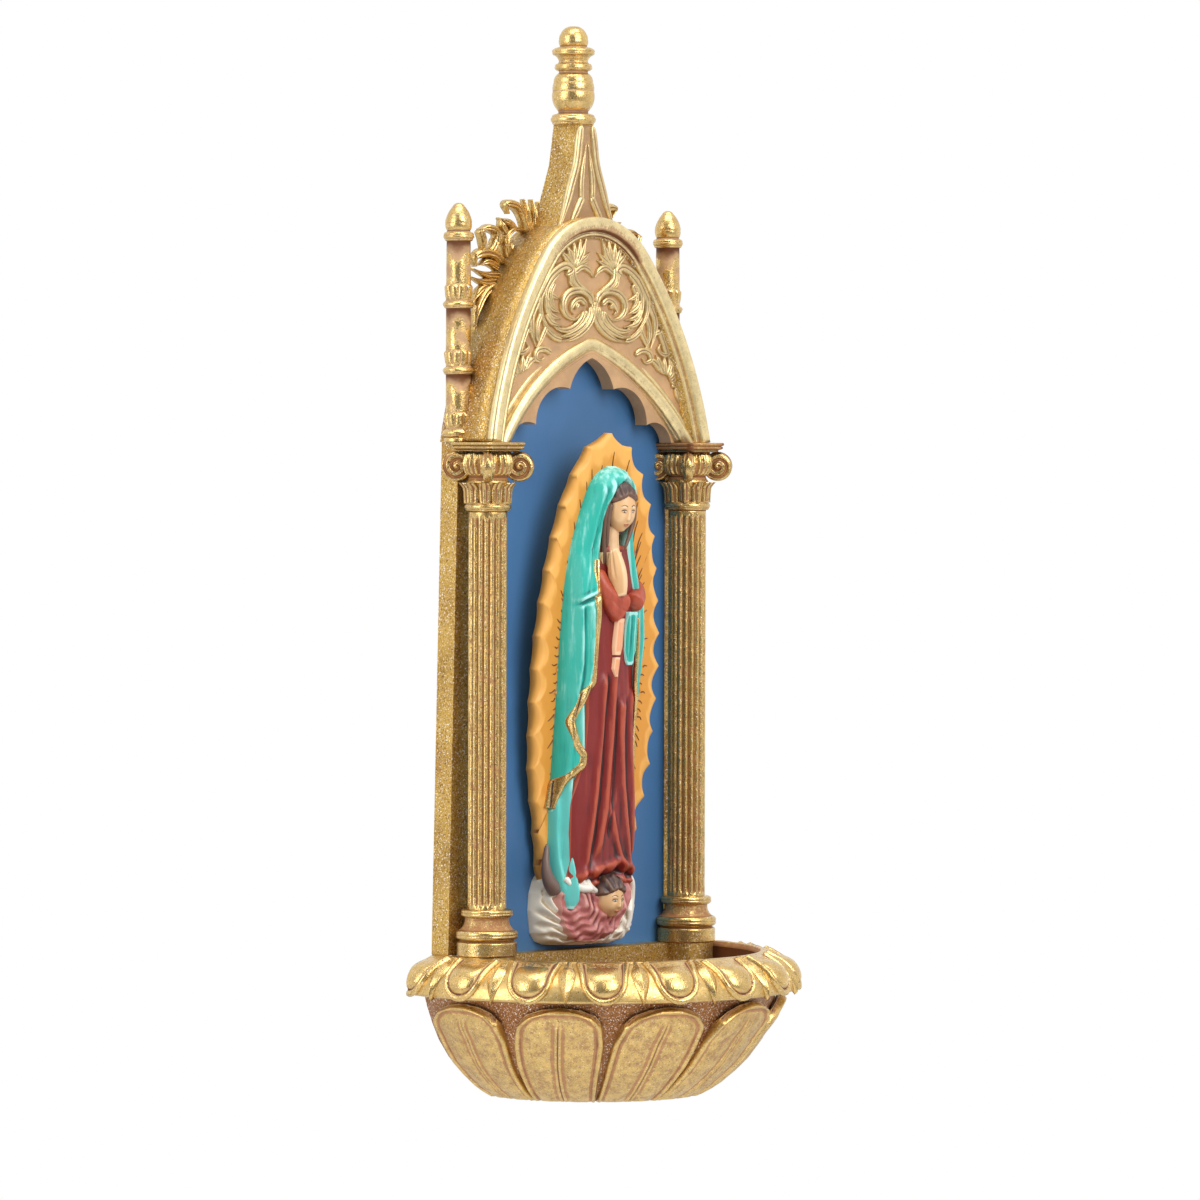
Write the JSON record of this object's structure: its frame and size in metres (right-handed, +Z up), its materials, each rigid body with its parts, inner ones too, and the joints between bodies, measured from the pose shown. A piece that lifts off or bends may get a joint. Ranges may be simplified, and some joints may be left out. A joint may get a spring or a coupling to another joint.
{
  "type": "holy water stoup",
  "caption": "Wall-hung gilt Gothic niche with a painted standing figure on a blue panel, over a half-round water basin with egg-and-dart rim and lotus leaves.",
  "frame": {"origin": "centre of the keyhole's round entry on the wall plane, where the stoup hangs", "axes": "+Z up, +X to the right seen from the front, -Y out from the wall towards the viewer"},
  "size_m": [0.1048, 0.0669, 0.265],
  "materials": {
    "gilt": "leaf-gilt, bright on the high spots",
    "bole": "peach-tan bole showing in the recesses, gilt on the carving",
    "painted_blue": "satin blue paint",
    "glory_orange": "satin orange paint with engraved rays",
    "gown_crimson": "satin crimson paint",
    "mantle_teal": "satin teal paint with a gilt border",
    "skin": "matte painted flesh",
    "sash_peach": "satin peach paint",
    "dark_brown": "satin dark brown paint",
    "cloud_cream": "matte cream paint, washed darker in the folds",
    "tunic_rose": "satin dusty rose paint",
    "dowel_wood": "plain turned beech",
    "steel": "zinc-plated"
  },
  "bodies": {
    "root": {"case_back": "bole", "left_case_side": "gilt", "right_case_side": "gilt", "niche_panel": "painted_blue", "niche_sill": "gilt", "arch_hood": "gilt", "tympanum_panel": "bole", "tympanum_scrollwork": "gilt", "outer_arch_roll": "gilt", "inner_arch_roll": "gilt", "cusped_screen": "bole", "gable_spire": "gilt", "spire_tracery": "gilt", "finial": "gilt", "finial_dowel": "dowel_wood", "left_pinnacle": "gilt", "right_pinnacle": "gilt", "pinnacle_pins": "steel", "left_crocket_scroll": "gilt", "right_crocket_scroll": "gilt", "left_column_base": "gilt", "right_column_base": "gilt", "left_column_shaft": "gilt", "right_column_shaft": "gilt", "left_capital_bell": "gilt", "right_capital_bell": "gilt", "left_capital_volutes": "gilt", "right_capital_volutes": "gilt", "left_abacus": "gilt", "right_abacus": "gilt", "basin_bowl": "gilt", "basin_rim": "gilt", "rim_eggs": "gilt", "rim_darts": "gilt", "basin_leaves": "gilt", "glory": "glory_orange", "gown": "gown_crimson", "mantle": "mantle_teal", "head": "skin", "hands": "skin", "sash": "sash_peach", "crescent": "dark_brown", "cloud_base": "cloud_cream", "cherub_head": "skin", "cherub_tunic": "tunic_rose", "cherub_wings": "cloud_cream", "figure_dowels": "dowel_wood", "figure_spacer": "painted_blue", "basin_screws": "steel", "keyhole_plate": "steel", "keyhole_screws": "steel"}
  },
  "joints": []
}
